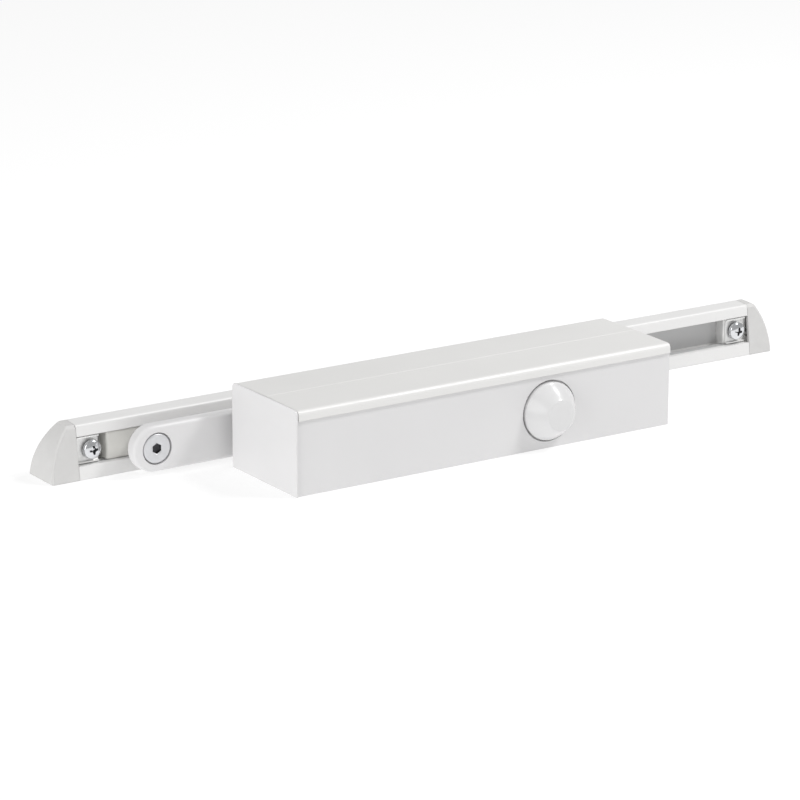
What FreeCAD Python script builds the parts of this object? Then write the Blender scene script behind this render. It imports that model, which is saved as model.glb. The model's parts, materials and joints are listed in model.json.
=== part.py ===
"""Slide-rail door closer: a rack-and-pinion casing, a flat arm and a guide rail.

Frame: +Z points away from the door, z = 0 is the plane that the casing and the rail are screwed to,
+X runs along the casing and +Y from the casing towards the rail. The origin is the centre of the
casing's four fixing holes. Every length is in millimetres.
"""
import FreeCAD, Part
import math
import os
import re

import Sketcher

DIMENSIONS = {
    # casing: housing, cover and end plates
    "housing_length": 234.4,
    "casing_depth": 63.0,
    "casing_height": 46.0,
    "left_plate_thickness": 0.8,
    "right_plate_thickness": 2.05,
    "plate_peg_radius": 1.75,
    "plate_peg_length": 5.0,
    "plate_peg_offset": 24.0,
    "plate_peg_height": 38.0,
    "plate_peg_end_gap": 0.5,
    "trim_gap": 0.5,
    "lip_overhang": 1.2,
    "lip_wall": 1.0,
    "lip_height": 5.7,
    "edge_radius": 2.6,
    "cover_wall": 1.5,
    "cover_fall": 0.3,
    "ridge_width": 0.9,
    "ridge_depth": 0.25,
    "cover_end_radius": 0.8,
    "housing_top": 44.3,
    # fixing holes through the casing
    "fixing_spacing_long": 208.0,
    "fixing_spacing_deep": 48.0,
    "fixing_radius": 3.2,
    "fixing_seat_radius": 5.2,
    "fixing_seat_height": 30.0,
    # spindle, seen from its own axis; depths are measured from the middle of the casing
    "spindle_offset": 40.0,
    "axis_height": 20.5,
    "gear_module": 1.5,
    "pinion_teeth": 12.0,
    "pressure_angle": 25.0,
    "rack_backlash": 0.12,
    "pinion_half_width": 15.6,
    "shaft_radius": 9.0,
    "shaft_front": 29.0,
    "square_side": 11.0,
    "square_front": 36.0,
    "spindle_thread_radius": 2.5,
    "spindle_thread_depth": 14.0,
    "bearing_radius": 12.0,
    "bearing_inner": 17.4,
    "bearing_outer": 24.2,
    "seal_outer": 26.4,
    "nut_radius": 14.0,
    "nut_outer": 28.4,
    "nut_hole_radius": 1.25,
    "nut_hole_circle": 11.6,
    "recess_radius": 16.9,
    "running_gap": 0.05,
    # cap over the free spindle end
    "cap_base_radius": 15.9,
    "cap_top_radius": 8.2,
    "cap_height": 11.6,
    "cap_wall": 1.8,
    "cap_bulge": 60.0,
    "cap_edge": 0.4,
    "cap_top_edge": 0.6,
    "cap_top_drop": 0.2,
    # cylinder, piston and spring
    "bore_radius": 17.0,
    "plug_seat_radius": 18.2,
    "plug_seat_depth": 9.0,
    "plug_length": 13.2,
    "plug_spigot_radius": 16.9,
    "plug_set_in": 0.4,
    "plug_end_gap": 0.1,
    "plug_hexagon": 12.0,
    "plug_hexagon_depth": 5.0,
    "plug_pin_circle": 12.5,
    "plug_pin_radius": 1.6,
    "plug_pin_depth": 4.0,
    "ring_major": 15.9,
    "ring_minor": 1.0,
    "ring_groove_radius": 14.85,
    "ring_groove_width": 2.6,
    "ring_inset": 2.0,
    "piston_left": 8.5,
    "piston_right": 94.0,
    "window_left": 28.5,
    "window_right": 72.0,
    "window_top": 31.6,
    "rack_gaps": 9.0,
    "valve_bore_radius": 3.0,
    "valve_ball_radius": 2.4,
    "valve_seat_length": 4.0,
    "valve_seat_bore": 1.4,
    "spring_wire_radius": 1.8,
    "spring_mean_radius": 13.0,
    "spring_turns": 9.0,
    "spring_plate_left": -94.0,
    "spring_plate_right": -88.2,
    "spring_plate_radius": 16.4,
    "spring_plate_hub": 8.6,
    "spring_plate_hub_length": 8.0,
    "adjuster_radius": 4.0,
    "adjuster_head_radius": 7.0,
    "adjuster_head_length": 4.5,
    "adjuster_tip": -60.0,
    "adjuster_hexagon": 5.0,
    "adjuster_seat_gap": 0.2,
    "adjuster_side_gap": 0.3,
    # oil channel and speed valves
    "channel_depth": -16.5,
    "channel_height": 36.0,
    "channel_radius": 1.5,
    "channel_mouth_radius": 2.0,
    "channel_mouth_length": 6.0,
    "channel_port": 98.5,
    "closing_valve_place": 66.0,
    "latching_valve_place": 82.0,
    "valve_radius": 4.0,
    "valve_bottom": 34.6,
    "valve_top": 43.4,
    "needle_radius": 1.1,
    "needle_bottom": 31.0,
    # arm
    "arm_front": 38.5,
    "arm_thickness": 8.0,
    "arm_width": 25.0,
    "arm_edge_radius": 2.0,
    "hub_radius": 17.0,
    "arm_straight_end": -62.0,
    "hub_lower_start": -30.0,
    "pivot_offset": -159.0,
    "arm_end_offset": -160.3,
    "pivot_height": 14.9,
    "pivot_seat_radius": 8.7,
    "pivot_seat_depth": 2.6,
    "pivot_head_radius": 8.0,
    "pivot_head_length": 2.4,
    "pivot_hexagon": 5.0,
    "pivot_spigot_radius": 4.5,
    "pivot_shoulder_radius": 5.6,
    "pivot_shoulder_gap": 0.3,
    "pivot_journal_radius": 5.0,
    "pivot_flange_radius": 6.4,
    "pivot_flange_length": 1.1,
    "pivot_flange_inset": 0.6,
    "pivot_thread_radius": 2.5,
    "pivot_thread_depth": 12.0,
    "pivot_screw_length": 9.0,
    "thread_gap": 0.02,
    "washer_bore": 3.2,
    "washer_radius": 9.0,
    "washer_thickness": 1.5,
    "arm_screw_radius": 5.2,
    "arm_screw_head": 3.8,
    "arm_screw_length": 12.0,
    "arm_screw_hexagon": 4.0,
    "screw_edge": 0.5,
    # rail
    "rail_left": -196.4,
    "rail_right": 242.3,
    "rail_front": 53.5,
    "rail_height": 28.8,
    "rail_lean": 3.8,
    "rail_crown_rear": 67.1,
    "rail_crown_rise": 0.7,
    "rail_rear": 78.5,
    "rail_rear_radius": 70.0,
    "rail_edge_radius": 1.5,
    "slot_low": 7.2,
    "slot_high": 22.6,
    "slot_throat": 62.0,
    "slot_back": 65.5,
    "slot_undercut": 2.0,
    "chamber_front": 67.3,
    "chamber_rear": 75.4,
    "chamber_low": 2.0,
    "chamber_high": 24.0,
    "chamber_top_width": 1.2,
    # slider
    "slider_half_length": 19.5,
    "slider_front": 57.2,
    "slider_gap": 0.35,
    "slider_end_radius": 1.2,
    "flange_seat_depth": 2.0,
    "flange_seat_gap": 0.3,
    # rail ends: fixing blocks, clamp plates, screws and end caps
    "left_block_length": 13.0,
    "right_block_length": 15.7,
    "block_front": 59.2,
    "block_gap": 0.15,
    "foot_near": 0.7,
    "foot_far": 11.2,
    "foot_height": 9.5,
    "foot_front": 59.2,
    "foot_rear": 72.5,
    "foot_hole_offset": 5.9,
    "foot_hole_depth": 66.0,
    "foot_hole_radius": 2.6,
    "clamp_length": 13.0,
    "left_clamp_inset": 0.3,
    "right_clamp_inset": 1.4,
    "clamp_slot_gap": 0.5,
    "clamp_hole_gap": 0.2,
    "clamp_thickness": 0.9,
    "clamp_flange": 1.3,
    "left_screw_inset": 8.7,
    "right_screw_inset": 8.1,
    "clamp_screw_radius": 5.1,
    "clamp_screw_head": 3.5,
    "clamp_screw_length": 6.0,
    "clamp_cross_long": 2.9,
    "clamp_cross_short": 0.7,
    "clamp_cross_depth": 1.9,
    "clamp_dome_radius": 3.2,
    "clamp_dome_height": 1.9,
    "clamp_dome_bulge": 4.6,
    "clamp_shank_radius": 2.4,
    "spring_washer_radius": 4.6,
    "spring_washer_length": 1.2,
    "end_cap_gap": 0.15,
    "end_cap_length": 16.0,
    "end_cap_top": 4.6,
    "end_cap_bulge": 45.0,
    "end_cap_corner": 2.5,
    "end_cap_chamfer": 1.6,
    "end_cap_edge_size": 1.0,
    "end_cap_wall": 1.6,
    "end_cap_upper_depth": 3.6,
    "end_cap_lower_depth": 12.6,
    "end_cap_step": 13.0,
    "end_cap_inner_lean": 0.36,
    "end_cap_inner_foot": 0.4,
    # how far a cut starts outside the material, and how far two joined lumps reach into each other
    "overcut": 3.0,
    "overlap": 1.0,
}

FULL_TURN = 360
FLANK_STEPS = 4
# A sketch on the XZ plane looks along -Y; the other two look along their positive axis.
PLANE_SIGN = {"XY_Plane": 1, "YZ_Plane": 1, "XZ_Plane": -1}
# Turned pieces are drawn about their own Z axis, then turned to face one way.
FACING = {
    "+z": FreeCAD.Rotation(),
    "+x": FreeCAD.Rotation(FreeCAD.Vector(0, 1, 0), 90),
    "-x": FreeCAD.Rotation(FreeCAD.Vector(0, 1, 0), -90),
    "+y": FreeCAD.Rotation(FreeCAD.Vector(1, 0, 0), -90),
    "-y": FreeCAD.Rotation(FreeCAD.Vector(1, 0, 0), 90),
}

doc = FreeCAD.newDocument("door_closer")
sheet = doc.addObject("Spreadsheet::Sheet", "sheet")


def fill_sheet():
    for row, (alias, length) in enumerate(DIMENSIONS.items(), start=1):
        sheet.set(f"A{row}", alias)
        sheet.set(f"B{row}", str(length))
        sheet.setAlias(f"B{row}", alias)
    doc.recompute()


# ---------------------------------------------------------------- drawing helpers
def cells(expression):
    """The expression with each dimension's name pointing at its cell; function names are left alone."""
    return re.sub(r"\b([a-z][a-z_]*)\b(?!\()", r"sheet.\1", expression)


def number(expression):
    return float(sheet.evalExpression(cells(expression)))


def point(across, along):
    return FreeCAD.Vector(number(across), number(along), 0)


def bind(sketch, kind, *where, to):
    """Adds one dimension to a sketch and ties it to an expression."""
    index = sketch.addConstraint(Sketcher.Constraint(kind, *where, number(to)))
    sketch.setExpression(f"Constraints[{index}]", cells(to))


def pin(sketch, edge, end, across, along):
    bind(sketch, "DistanceX", -1, 1, edge, end, to=across)
    bind(sketch, "DistanceY", -1, 1, edge, end, to=along)


def new_body(name):
    body = doc.addObject("PartDesign::Body", name)
    body.Label = name
    return body


def place(body, facing, x="0", y="0", z="0"):
    body.Placement = FreeCAD.Placement(FreeCAD.Vector(), FACING[facing])
    for axis, expression in (("x", x), ("y", y), ("z", z)):
        body.setExpression(f"Placement.Base.{axis}", cells(expression))


def sketch_on(body, plane, level):
    """A sketch parallel to one of the body's own planes, at a level along that plane's positive axis."""
    sketch = body.newObject("Sketcher::SketchObject", f"{body.Label}_sketch")
    support = next(f for f in body.Origin.OriginFeatures if f.Role == plane)
    sketch.AttachmentSupport = [(support, "")]
    sketch.MapMode = "FlatFace"
    sign = "" if PLANE_SIGN[plane] > 0 else "-"
    sketch.setExpression("AttachmentOffset.Base.z", cells(f"{sign}({level})"))
    return sketch


def circle(sketch, across, along, radius):
    edge = sketch.addGeometry(Part.Circle(point(across, along), FreeCAD.Vector(0, 0, 1), number(radius)))
    pin(sketch, edge, 3, across, along)
    bind(sketch, "Radius", edge, to=radius)


def arc_between(start, end, radius):
    """The minor arc from start to end, turning left if the radius is positive and right if it is negative."""
    chord = end - start
    left = FreeCAD.Vector(-chord.y, chord.x, 0).normalize()
    side = math.copysign(1, radius)
    rise = math.sqrt(radius**2 - (chord.Length / 2) ** 2)
    centre = (start + end) / 2 + left * (side * rise)
    middle = centre - left * (side * abs(radius))
    return Part.Arc(start, middle, end)


def outline(sketch, *corners):
    """A closed outline of (across, along) corners; one with a radius leads to the next by an arc."""
    places = [point(*corner[:2]) for corner in corners]
    following = places[1:] + places[:1]
    first = sketch.GeometryCount
    ends = []
    for corner, start, end in zip(corners, places, following):
        if len(corner) == 2:
            sketch.addGeometry(Part.LineSegment(start, end))
            ends.append((1, 2))
        else:
            radius = number(corner[2])
            sketch.addGeometry(arc_between(start, end, radius))
            ends.append((1, 2) if radius > 0 else (2, 1))
    for index, corner in enumerate(corners):
        after = (index + 1) % len(corners)
        joint = (first + index, ends[index][1], first + after, ends[after][0])
        sketch.addConstraint(Sketcher.Constraint("Coincident", *joint))
        pin(sketch, first + index, ends[index][0], *corner[:2])
        if len(corner) == 3:
            bind(sketch, "Radius", first + index, to=f"abs({corner[2]})")


def rectangle(sketch, left, right, low, high):
    outline(sketch, (left, low), (right, low), (right, high), (left, high))


def hexagon(sketch, across_flats):
    """A hexagon about the sketch's origin, with a corner straight up."""
    corner = f"{across_flats} / sqrt(3)"
    flat = f"{across_flats} / 2"
    outline(
        sketch,
        ("0", f"-{corner}"),
        (flat, f"-{corner} / 2"),
        (flat, f"{corner} / 2"),
        ("0", corner),
        (f"-{flat}", f"{corner} / 2"),
        (f"-{flat}", f"-{corner} / 2"),
    )


def pad(body, plane, low, high, draw):
    """Adds material between two levels along a plane's axis, inside what draw puts in the sketch."""
    sketch = sketch_on(body, plane, low if PLANE_SIGN[plane] > 0 else high)
    draw(sketch)
    feature = body.newObject("PartDesign::Pad", f"{body.Label}_pad")
    feature.Profile = sketch
    feature.setExpression("Length", cells(f"({high}) - ({low})"))
    doc.recompute()
    return feature


def pocket(body, plane, low, high, draw):
    """Cuts between two levels along a plane's axis, inside what draw puts in the sketch."""
    before = body.Shape.Volume
    sketch = sketch_on(body, plane, high if PLANE_SIGN[plane] > 0 else low)
    draw(sketch)
    feature = body.newObject("PartDesign::Pocket", f"{body.Label}_pocket")
    feature.Profile = sketch
    feature.setExpression("Length", cells(f"({high}) - ({low})"))
    doc.recompute()
    if body.Shape.Volume > before - 1e-3:
        raise RuntimeError(f"a pocket in {body.Label} removed nothing")
    return feature


def revolve(body, *corners):
    """Turns a half section, given as (radius, height) corners, about the body's own Z axis."""
    sketch = sketch_on(body, "XZ_Plane", "0")
    outline(sketch, *corners)
    feature = body.newObject("PartDesign::Revolution", f"{body.Label}_turned")
    feature.Profile = sketch
    feature.ReferenceAxis = (sketch, ["V_Axis"])
    feature.Angle = FULL_TURN
    doc.recompute()
    return feature


def ring(name, inner, outer, length):
    """A plain ring that stands on its own XY plane."""
    body = new_body(name)
    revolve(body, (inner, "0"), (outer, "0"), (outer, length), (inner, length))
    return body


def dress(body, kind, size, chosen):
    """Fillets or chamfers the edges of the body's last feature that chosen picks by their bounding box."""
    base = body.Tip
    names = [f"Edge{n}" for n, edge in enumerate(base.Shape.Edges, start=1) if chosen(edge.BoundBox)]
    if not names:
        raise RuntimeError(f"no edge to dress on {body.Label}")
    feature = body.newObject(f"PartDesign::{kind}", f"{body.Label}_{kind.lower()}")
    feature.Base = (base, names)
    feature.setExpression("Radius" if kind == "Fillet" else "Size", cells(size))
    doc.recompute()
    return feature


def near(value, expression, tolerance=0.02):
    return abs(value - number(expression)) < tolerance


# ---------------------------------------------------------------- casing
HALF_LENGTH = "(housing_length / 2)"
HALF_DEPTH = "(casing_depth / 2 - lip_overhang)"


def make_housing():
    body = new_body("housing")
    pad(body, "XY_Plane", "0", "housing_top",
        lambda s: rectangle(s, f"-{HALF_LENGTH}", HALF_LENGTH, f"-{HALF_DEPTH}", HALF_DEPTH))
    pocket(body, "YZ_Plane", f"-{HALF_LENGTH}", HALF_LENGTH,
           lambda s: circle(s, "0", "axis_height", "bore_radius"))
    for low, high in (
        (f"-{HALF_LENGTH}", f"plug_seat_depth - {HALF_LENGTH}"),
        (f"{HALF_LENGTH} - plug_seat_depth", HALF_LENGTH),
    ):
        pocket(body, "YZ_Plane", low, high, lambda s: circle(s, "0", "axis_height", "plug_seat_radius"))
    for inner, outer, radius in (
        ("0", "seal_outer", "bearing_radius"),
        ("seal_outer", "nut_outer", "nut_radius"),
        ("nut_outer", HALF_DEPTH, "recess_radius"),
    ):
        for low, high in ((f"-{outer}", f"-{inner}"), (inner, outer)):
            pocket(body, "XZ_Plane", low, high,
                   lambda s: circle(s, "spindle_offset", "axis_height", radius))
    drill_fixing_holes(body)
    drill_oil_ways(body)
    for side in ("-", ""):
        peg_end = f"{side}({HALF_LENGTH} - plate_peg_length - plate_peg_end_gap)"
        low, high = sorted((f"{side}{HALF_LENGTH}", peg_end), key=number)
        pocket(body, "YZ_Plane", low, high, draw_peg_holes)


def draw_peg_holes(sketch):
    for side in ("-", ""):
        circle(sketch, f"{side}plate_peg_offset", "plate_peg_height", "plate_peg_radius + running_gap")


def drill_fixing_holes(body):
    for low, high, radius in (
        ("0", "fixing_seat_height", "fixing_radius"),
        ("fixing_seat_height", "housing_top", "fixing_seat_radius"),
    ):
        def four_holes(sketch):
            for across in ("-", ""):
                for along in ("-", ""):
                    circle(sketch, f"{across}fixing_spacing_long / 2",
                           f"{along}fixing_spacing_deep / 2", radius)

        pocket(body, "XY_Plane", low, high, four_holes)


def drill_oil_ways(body):
    """One channel beside the cylinder, a port at its end, and the two valve bores that cross it."""
    pocket(body, "YZ_Plane", "closing_valve_place", HALF_LENGTH,
           lambda s: circle(s, "channel_depth", "channel_height", "channel_radius"))
    pocket(body, "YZ_Plane", f"{HALF_LENGTH} - channel_mouth_length", HALF_LENGTH,
           lambda s: circle(s, "channel_depth", "channel_height", "channel_mouth_radius"))
    for at in ("channel_port", "closing_valve_place", "latching_valve_place"):
        pocket(body, "XY_Plane", "axis_height", "housing_top",
               lambda s: circle(s, at, "channel_depth", "needle_radius + 0.1"))
    pocket(body, "XY_Plane", "housing_top - channel_mouth_length", "housing_top",
           lambda s: circle(s, "channel_port", "channel_depth", "channel_mouth_radius"))
    for at in ("closing_valve_place", "latching_valve_place"):
        pocket(body, "XY_Plane", "valve_bottom - 0.4", "housing_top",
               lambda s: circle(s, at, "channel_depth", "valve_radius + running_gap"))


def make_end_plate(side, sign, half_depth, top):
    """A flat end plate with two pegs that press into the housing."""
    body = new_body(f"{side}_end_plate")
    inner, outer = f"{sign}{HALF_LENGTH}", f"{sign}({HALF_LENGTH} + {side}_plate_thickness)"
    low, high = sorted((outer, inner), key=number)
    pad(body, "YZ_Plane", low, high, lambda s: rectangle(s, f"-{half_depth}", half_depth, "0", top))
    if top == "casing_height":
        dress(body, "Fillet", "edge_radius",
              lambda box: near(box.ZMin, top) and box.XLength > 0.5 and box.YLength < 1)
    low, high = sorted((inner, f"{sign}({HALF_LENGTH} - plate_peg_length)"), key=number)
    pad(body, "YZ_Plane", low, high, lambda s: [
        circle(s, f"{y}plate_peg_offset", "plate_peg_height", "plate_peg_radius") for y in ("-", "")])


def make_top_cover():
    """A long shallow channel: a faint ridge along its top, two lips over the housing, a rounded right end."""
    body = new_body("top_cover")
    lip_inside = "(casing_depth / 2 - lip_wall)"
    shoulder = "(casing_height - cover_fall)"
    under = "(casing_height - cover_wall)"
    lip_foot = "(casing_height - lip_height)"
    left_end, right_end = f"(trim_gap - {HALF_LENGTH})", f"({HALF_LENGTH} + right_plate_thickness)"
    pad(body, "YZ_Plane", left_end, right_end, lambda s: outline(
        s,
        ("-casing_depth / 2", lip_foot),
        (f"-{lip_inside}", lip_foot),
        (f"-{lip_inside}", under),
        (lip_inside, under),
        (lip_inside, lip_foot),
        ("casing_depth / 2", lip_foot),
        ("casing_depth / 2", shoulder),
        ("0", "casing_height"),
        ("-casing_depth / 2", shoulder),
    ))
    dress(body, "Fillet", "edge_radius",
          lambda box: near(box.ZMin, shoulder) and near(box.ZMax, shoulder) and box.XLength > 1)
    dress(body, "Fillet", "cover_end_radius", lambda box: near(box.XMin, right_end)
          and box.ZMax > number(lip_foot) + 1 and (box.ZMax > number(shoulder) - 1 or is_outside(box)))
    pocket(body, "YZ_Plane", left_end, right_end, lambda s: outline(
        s,
        ("-ridge_width / 2", "casing_height"),
        ("0", "casing_height - ridge_depth"),
        ("ridge_width / 2", "casing_height"),
    ))


def is_outside(box):
    """True for an edge that reaches the cover's front or rear face."""
    return near(max(box.YMax, -box.YMin), "casing_depth / 2")


def make_spindle_cap():
    """The hollow cone over the spindle's free end; its rim stands in the recess round the bearing nut."""
    body = new_body("spindle_cap")
    rim = f"({HALF_DEPTH} - nut_outer - running_gap)"
    revolve(
        body,
        ("cap_base_radius - cap_wall", "0"),
        ("cap_base_radius", "0"),
        ("cap_base_radius", rim),
        ("cap_base_radius - cap_edge", f"{rim} + cap_edge", "cap_bulge"),
        ("cap_top_radius + cap_top_edge", f"{rim} + cap_height - cap_top_drop"),
        ("cap_top_radius", f"{rim} + cap_height"),
        ("0", f"{rim} + cap_height"),
        ("0", f"{rim} + cap_height - cap_wall"),
        ("cap_top_radius", f"{rim} + cap_height - cap_wall"),
        ("cap_base_radius - cap_wall", rim),
    )
    place(body, "-y", "spindle_offset", "-(nut_outer + running_gap)", "axis_height")


# ---------------------------------------------------------------- spindle and its bearings
def involute_gap():
    """Half of a tooth gap: points from the root circle out to the tips, about the gap's middle line."""
    pitch = number("gear_module * pinion_teeth / 2")
    pressure = math.radians(number("pressure_angle"))
    base = pitch * math.cos(pressure)
    tip = pitch + number("gear_module")
    half_gap = math.pi / (2 * number("pinion_teeth"))
    at_pitch = math.tan(pressure) - pressure
    points = []
    for step in range(FLANK_STEPS + 1):
        radius = base + (tip - base) * step / FLANK_STEPS
        roll = math.sqrt((radius / base) ** 2 - 1)
        angle = half_gap + (roll - math.atan(roll)) - at_pitch
        points.append((radius, angle))
    return points


def draw_tooth_gap(sketch):
    """The gap between two teeth: straight root, radial feet, involute flanks, open beyond the tips."""
    flank = involute_gap()
    root = number("gear_module * (pinion_teeth / 2 - 1.25)")
    beyond = number("gear_module * (pinion_teeth / 2 + 2)")

    def at(radius, angle):
        return FreeCAD.Vector(radius * math.sin(angle), -radius * math.cos(angle), 0)

    right = [at(radius, angle) for radius, angle in flank]
    left = [at(radius, -angle) for radius, angle in flank]
    foot_angle, tip_angle = flank[0][1], flank[-1][1]
    corners = [at(root, foot_angle), at(beyond, tip_angle), at(beyond, -tip_angle), at(root, -foot_angle)]
    for side in (right, left):
        curve = Part.BSplineCurve()
        curve.interpolate(side)
        sketch.addGeometry(curve)
    for start, end in (
        (corners[0], right[0]),
        (right[-1], corners[1]),
        (corners[1], corners[2]),
        (corners[2], left[-1]),
        (left[0], corners[3]),
        (corners[3], corners[0]),
    ):
        sketch.addGeometry(Part.LineSegment(start, end))


def make_pinion_spindle():
    """Shaft, twelve-tooth pinion and a drive square at each end, with its axis along the depth."""
    body = new_body("pinion_spindle")
    tip = "gear_module * (pinion_teeth / 2 + 1)"
    shoulder = "(arm_front - 0.1)"
    revolve(
        body,
        ("0", "-shaft_front"),
        ("shaft_radius", "-shaft_front"),
        ("shaft_radius", "-pinion_half_width"),
        (tip, "-pinion_half_width"),
        (tip, "pinion_half_width"),
        ("shaft_radius", "pinion_half_width"),
        ("shaft_radius", shoulder),
        ("0", shoulder),
    )
    gap = pocket(body, "XY_Plane", "-pinion_half_width", "pinion_half_width", draw_tooth_gap)
    pattern = body.newObject("PartDesign::PolarPattern", "pinion_teeth_pattern")
    pattern.Originals = [gap]
    pattern.Axis = (next(f for f in body.Origin.OriginFeatures if f.Role == "Z_Axis"), [""])
    pattern.Angle = FULL_TURN
    pattern.setExpression("Occurrences", cells("pinion_teeth"))
    body.Tip = pattern
    doc.recompute()
    half_side = "square_side / 2"
    rear_end = "arm_front + arm_thickness - 0.5"
    for low, high in (("-square_front", "-shaft_front"), (shoulder, rear_end)):
        pad(body, "XY_Plane", low, high,
            lambda s: rectangle(s, f"-{half_side}", half_side, f"-{half_side}", half_side))
    for low, high in (
        ("-square_front", "spindle_thread_depth - square_front"),
        (f"{rear_end} - spindle_thread_depth", rear_end),
    ):
        pocket(body, "XY_Plane", low, high, lambda s: circle(s, "0", "0", "spindle_thread_radius"))
    place(body, "+y", "spindle_offset", "0", "axis_height")


def make_spindle_bearings():
    """Bearing bush, lip seal and bearing nut on each side of the pinion."""
    seals = []
    for side, facing, sign in (("front", "-y", "-"), ("rear", "+y", "")):
        bore = "shaft_radius + running_gap"
        bearing = ring(f"{side}_bearing", bore, "bearing_radius", "bearing_outer - bearing_inner")
        place(bearing, facing, "spindle_offset", f"{sign}bearing_inner", "axis_height")
        make_bearing_nut(f"{side}_bearing_nut", facing, sign)
        seal = ring(f"{side}_seal_ring", bore, "bearing_radius", "seal_outer - bearing_outer - 0.2")
        place(seal, facing, "spindle_offset", f"{sign}(bearing_outer + 0.1)", "axis_height")
        seals.append(seal)
    group("shaft_seals", seals)


def make_bearing_nut(name, facing, sign):
    """A flat threaded ring with two holes for a pin spanner."""
    body = ring(name, "shaft_radius + 0.3", "nut_radius", "nut_outer - seal_outer")
    pocket(body, "XY_Plane", "0", "nut_outer - seal_outer", lambda s: [
        circle(s, f"{side}nut_hole_circle", "0", "nut_hole_radius") for side in ("-", "")])
    place(body, facing, "spindle_offset", f"{sign}seal_outer", "axis_height")


def group(name, members):
    """Several equal pieces kept as one named group of separate solids."""
    compound = doc.addObject("Part::Compound", name)
    compound.Label = name
    compound.Links = members
    doc.recompute()
    return compound


# ---------------------------------------------------------------- cylinder ends, piston and spring
def make_end_plug(name, side, facing):
    """A cylinder plug: its wide end fits the seat, its spigot carries the O-ring inside the bore."""
    body = new_body(name)
    groove = "(plug_length - ring_inset - ring_groove_width)"
    revolve(
        body,
        ("0", "0"),
        ("plug_seat_radius - running_gap", "0"),
        ("plug_seat_radius - running_gap", "plug_seat_depth - plug_set_in - plug_end_gap"),
        ("plug_spigot_radius", "plug_seat_depth - plug_set_in - plug_end_gap"),
        ("plug_spigot_radius", groove),
        ("ring_groove_radius", groove),
        ("ring_groove_radius", f"{groove} + ring_groove_width"),
        ("plug_spigot_radius", f"{groove} + ring_groove_width"),
        ("plug_spigot_radius", "plug_length"),
        ("0", "plug_length"),
    )
    if name == "left_end_plug":
        pocket(body, "XY_Plane", "0", "plug_length",
               lambda s: circle(s, "0", "0", "adjuster_radius + running_gap"))
        pocket(body, "XY_Plane", "0", "adjuster_head_length + adjuster_seat_gap",
               lambda s: circle(s, "0", "0", "adjuster_head_radius + adjuster_side_gap"))
    else:
        pocket(body, "XY_Plane", "0", "plug_hexagon_depth", lambda s: hexagon(s, "plug_hexagon"))
    pocket(body, "XY_Plane", "0", "plug_pin_depth", lambda s: [
        circle(s, f"{sign}plug_pin_circle", "0", "plug_pin_radius") for sign in ("-", "")])
    place(body, facing, f"{side}({HALF_LENGTH} - plug_set_in)", "0", "axis_height")


def make_plug_seals():
    """The two O-rings on the plugs' spigots."""
    rings = []
    inset = f"({HALF_LENGTH} - plug_set_in - plug_length + ring_inset + ring_groove_width / 2)"
    for name, side in (("left_plug_ring", "-"), ("right_plug_ring", "")):
        torus = doc.addObject("Part::Torus", name)
        torus.setExpression("Radius1", cells("ring_major"))
        torus.setExpression("Radius2", cells("ring_minor"))
        place(torus, "+x", f"{side}{inset}", "0", "axis_height")
        rings.append(torus)
    group("plug_seals", rings)


RACK_LEVEL = "(axis_height - gear_module * pinion_teeth / 2)"


def make_piston():
    """A cylinder cut through by the pinion's window, with the rack along the window's lower edge."""
    body = new_body("piston")
    pad(body, "YZ_Plane", "piston_left", "piston_right",
        lambda s: circle(s, "0", "axis_height", "bore_radius - running_gap"))
    pocket(body, "XZ_Plane", "-bore_radius", "bore_radius", lambda s: rectangle(
        s, "window_left", "window_right", f"{RACK_LEVEL} + gear_module", "window_top"))
    gap = pocket(body, "XZ_Plane", "-bore_radius", "bore_radius", draw_rack_gap)
    pattern = body.newObject("PartDesign::LinearPattern", "rack_pattern")
    pattern.Originals = [gap]
    pattern.Direction = (next(f for f in body.Origin.OriginFeatures if f.Role == "X_Axis"), [""])
    pattern.Length = number("gear_module * (rack_gaps - 1)") * math.pi
    pattern.setExpression("Occurrences", cells("rack_gaps"))
    body.Tip = pattern
    doc.recompute()
    pocket(body, "YZ_Plane", "window_right", "piston_right",
           lambda s: circle(s, "0", "axis_height", "valve_bore_radius"))


def draw_rack_gap(sketch):
    """The leftmost gap of the rack; a tooth stands under the spindle, so gaps lie half a pitch off."""
    pitch = math.pi * number("gear_module")
    slope = math.tan(math.radians(number("pressure_angle")))
    half_gap = pitch / 4 + number("rack_backlash") / 2
    middle = number("spindle_offset") - 1.5 * pitch
    root = number(f"{RACK_LEVEL} - 1.25 * gear_module")
    above = number(f"{RACK_LEVEL} + 1.4 * gear_module")
    level = number(RACK_LEVEL)
    corners = []
    for side, height in ((-1, root), (1, root), (1, above), (-1, above)):
        half = half_gap + (height - level) * slope
        corners.append(FreeCAD.Vector(middle + side * half, height, 0))
    for start, end in zip(corners, corners[1:] + corners[:1]):
        sketch.addGeometry(Part.LineSegment(start, end))


def make_check_valve():
    """A seat pressed into the piston's right head, and the ball behind it."""
    seat = ring("check_valve_seat", "valve_seat_bore", "valve_bore_radius", "valve_seat_length")
    place(seat, "-x", "piston_right", "0", "axis_height")
    ball = doc.addObject("Part::Sphere", "check_valve_ball")
    ball.setExpression("Radius", cells("valve_ball_radius"))
    place(ball, "+z", "piston_right - valve_seat_length - valve_ball_radius - 0.1", "0", "axis_height")


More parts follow.
